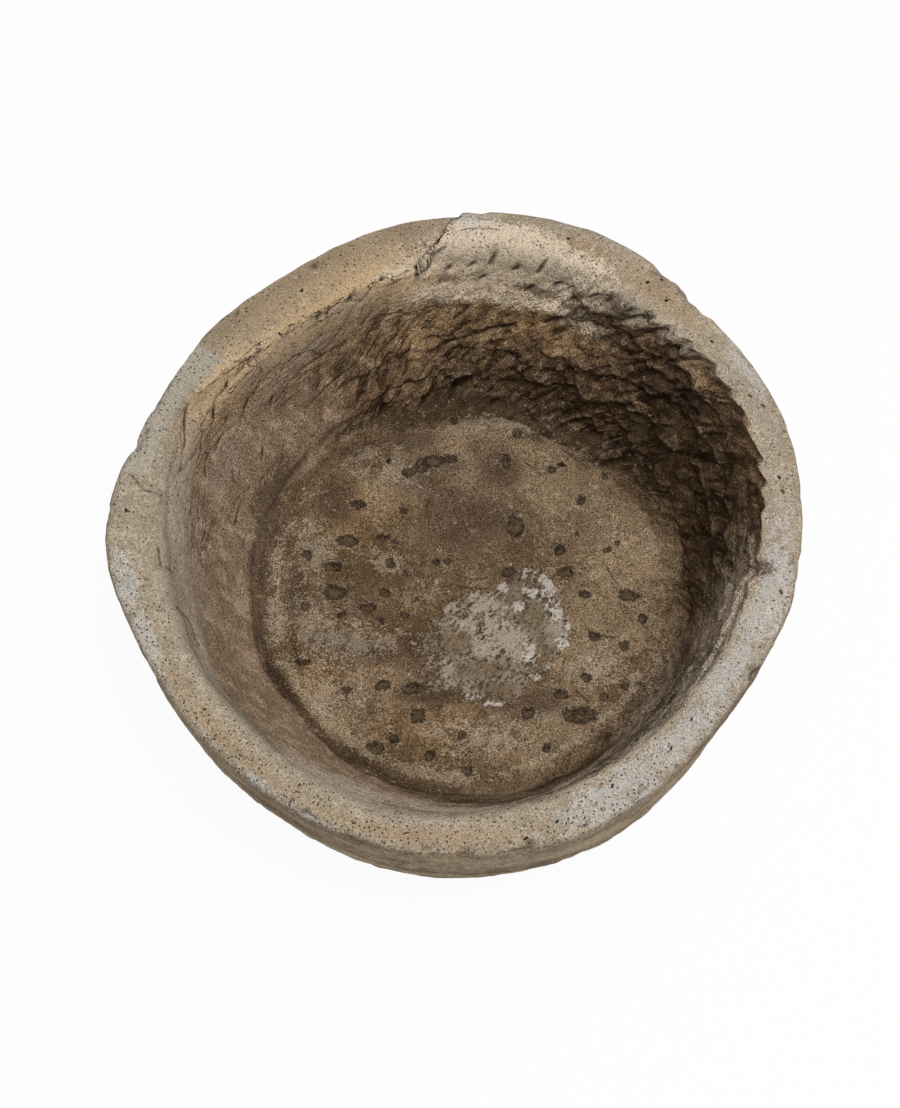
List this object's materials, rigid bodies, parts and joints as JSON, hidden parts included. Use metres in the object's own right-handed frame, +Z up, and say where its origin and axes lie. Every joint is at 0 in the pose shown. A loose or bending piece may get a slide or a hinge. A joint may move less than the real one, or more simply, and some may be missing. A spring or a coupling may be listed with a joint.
{
  "type": "stone trough planter",
  "caption": "Round stone trough planter, hollowed by hand from one block: thick uneven rim, broken on the far side, leaning inner wall, coved floor with a pale lime crust, and a flat base.",
  "frame": {"origin": "on the ground, under the middle of the trough's outline seen from above", "axes": "+Z up out of the mouth; -Y towards the viewer of the picture, +Y towards the broken length of the rim; +X to the viewer's right, towards the chip in the inner edge of the rim"},
  "size_m": [0.6327, 0.6352, 0.26],
  "materials": {
    "weathered_stone": "hand-dressed and weathered, granular, matt",
    "lime": "rough, chalky crust, matt"
  },
  "bodies": {
    "root": {"trough_body": "weathered_stone", "lime_crust": "lime"}
  },
  "joints": []
}
